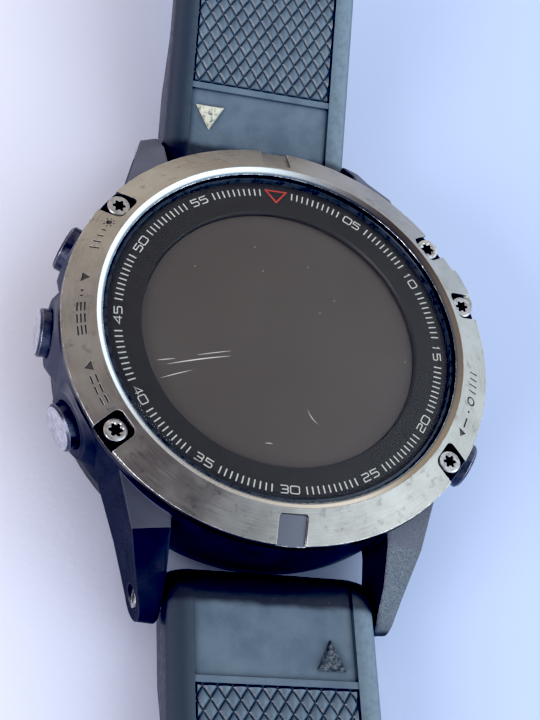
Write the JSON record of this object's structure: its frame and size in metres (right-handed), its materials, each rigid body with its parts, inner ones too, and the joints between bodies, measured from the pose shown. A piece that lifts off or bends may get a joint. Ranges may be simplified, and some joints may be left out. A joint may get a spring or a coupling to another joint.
{
  "type": "sports wristwatch",
  "caption": "Round outdoor sports wristwatch with side buttons, screwed metal bezel, reflective display and a quick-release silicone strap with buckle.",
  "frame": {"origin": "centre of the sensor window on the case back, the surface that the watch lies on", "axes": "+Z out of the glass, +Y towards 12 o'clock and the buckle half of the strap, +X towards 3 o'clock"},
  "size_m": [0.0486, 0.2629, 0.0174],
  "materials": {
    "gunmetal": "circular brushing on the slope, polished inner chamfer",
    "case_coating": "dark blue-grey matt coating",
    "button_metal": "satin coated caps",
    "fine_steel": "machined stainless steel",
    "glass": "polished crystal",
    "dial_black": "satin black with pale marks",
    "display_grey": "reflective display, switched off",
    "silicone": "matt silicone with a knurled relief",
    "strap_plastic": "moulded plastic",
    "cover_plastic": "fine matt polymer",
    "sensor_glass": "dark optical window",
    "seal_rubber": "smooth O-ring rubber",
    "board_green": "soldermask",
    "battery_foil": "foil pouch",
    "brass_gold": "gold-plated contacts",
    "tin_shield": "pressed tin cans",
    "led_package": "clear LED packages"
  },
  "bodies": {
    "watch": {"back_cover": "cover_plastic", "back_gasket": "seal_rubber", "back_screws": "fine_steel", "battery": "battery_foil", "bezel": "gunmetal", "bezel_gasket": "seal_rubber", "bezel_screws": "fine_steel", "board_shields": "tin_shield", "button_seals": "seal_rubber", "button_spring_back": "fine_steel", "button_spring_down": "fine_steel", "button_spring_light": "fine_steel", "button_spring_start": "fine_steel", "button_spring_up": "fine_steel", "button_switches": "tin_shield", "case": "case_coating", "charge_contacts": "brass_gold", "dial_ring": "dial_black", "display": "display_grey", "display_bracket": "cover_plastic", "gps_antenna": "brass_gold", "inner_frame": "cover_plastic", "lens": "glass", "lens_gasket": "seal_rubber", "lug_bars": "fine_steel", "lug_screws": "fine_steel", "main_board": "board_green", "motor_housing": "fine_steel", "pressure_sensor": "tin_shield", "sensor_board": "board_green", "sensor_leds": "led_package", "sensor_window": "sensor_glass"},
    "button_light": {"button_light": "button_metal", "button_clip_light": "fine_steel"},
    "button_up": {"button_up": "button_metal", "button_clip_up": "fine_steel"},
    "button_down": {"button_down": "button_metal", "button_clip_down": "fine_steel"},
    "button_start": {"button_start": "button_metal", "button_clip_start": "fine_steel"},
    "button_back": {"button_back": "button_metal", "button_clip_back": "fine_steel"},
    "strap_short": {"strap_short": "silicone", "strap_hook_short": "strap_plastic", "keeper_fixed": "silicone", "latch_spring_short": "fine_steel"},
    "strap_long": {"strap_long": "silicone", "strap_hook_long": "strap_plastic", "latch_spring_long": "fine_steel"},
    "latch_short": {"latch_short": "fine_steel"},
    "latch_long": {"latch_long": "fine_steel"},
    "keeper_free": {"keeper_free": "silicone"},
    "buckle": {"buckle": "gunmetal", "buckle_bar": "fine_steel"},
    "buckle_tongue": {"buckle_tongue": "gunmetal"},
    "motor_rotor": {"motor_rotor": "brass_gold"}
  },
  "joints": [
    {"name": "press_light", "type": "slide", "parent": "watch", "child": "button_light", "axis": [0.9026, -0.4305, 0], "range_m": [0, 0.0005], "stiffness_N_per_m": 1500, "springref_m": -0.0004, "deforming": ["button_spring_light"]},
    {"name": "press_up", "type": "slide", "parent": "watch", "child": "button_up", "axis": [1, 0, 0], "range_m": [0, 0.0005], "stiffness_N_per_m": 1500, "springref_m": -0.0004, "deforming": ["button_spring_up"]},
    {"name": "press_down", "type": "slide", "parent": "watch", "child": "button_down", "axis": [0.9026, 0.4305, 0], "range_m": [0, 0.0005], "stiffness_N_per_m": 1500, "springref_m": -0.0004, "deforming": ["button_spring_down"]},
    {"name": "press_start", "type": "slide", "parent": "watch", "child": "button_start", "axis": [-0.9026, -0.4305, 0], "range_m": [0, 0.0005], "stiffness_N_per_m": 1500, "springref_m": -0.0004, "deforming": ["button_spring_start"]},
    {"name": "press_back", "type": "slide", "parent": "watch", "child": "button_back", "axis": [-0.9026, 0.4305, 0], "range_m": [0, 0.0005], "stiffness_N_per_m": 1500, "springref_m": -0.0004, "deforming": ["button_spring_back"]},
    {"name": "strap_short_swing", "type": "hinge", "parent": "watch", "child": "strap_short", "pos_m": [0, 0.0266, 0.0047], "axis": [1, 0, 0], "range_deg": [-100, 8]},
    {"name": "strap_long_swing", "type": "hinge", "parent": "watch", "child": "strap_long", "pos_m": [0, -0.0266, 0.0047], "axis": [-1, 0, 0], "range_deg": [-80, 25]},
    {"name": "latch_short_slide", "type": "slide", "parent": "strap_short", "child": "latch_short", "axis": [0, 0.9336, 0.3584], "range_m": [0, 0.0026], "stiffness_N_per_m": 300, "springref_m": -0.001, "deforming": ["latch_spring_short"]},
    {"name": "latch_long_slide", "type": "slide", "parent": "strap_long", "child": "latch_long", "axis": [0, -0.9994, 0.0349], "range_m": [0, 0.0026], "stiffness_N_per_m": 300, "springref_m": -0.001, "deforming": ["latch_spring_long"]},
    {"name": "keeper_slide", "type": "slide", "parent": "strap_short", "child": "keeper_free", "axis": [0, -0.9272, 0.3746], "range_m": [-0.0025, 0.006]},
    {"name": "buckle_swing", "type": "hinge", "parent": "strap_short", "child": "buckle", "pos_m": [0, 0.09642, 0.0019], "axis": [1, 0, 0], "range_deg": [-30, 45]},
    {"name": "tongue_swing", "type": "hinge", "parent": "buckle", "child": "buckle_tongue", "pos_m": [0, 0.09642, 0.0019], "axis": [1, 0, 0], "range_deg": [0, 50]},
    {"name": "motor_spin", "type": "hinge", "parent": "watch", "child": "motor_rotor", "pos_m": [0, 0.0136, 0.005], "axis": [0, 0, 1], "continuous": true}
  ]
}
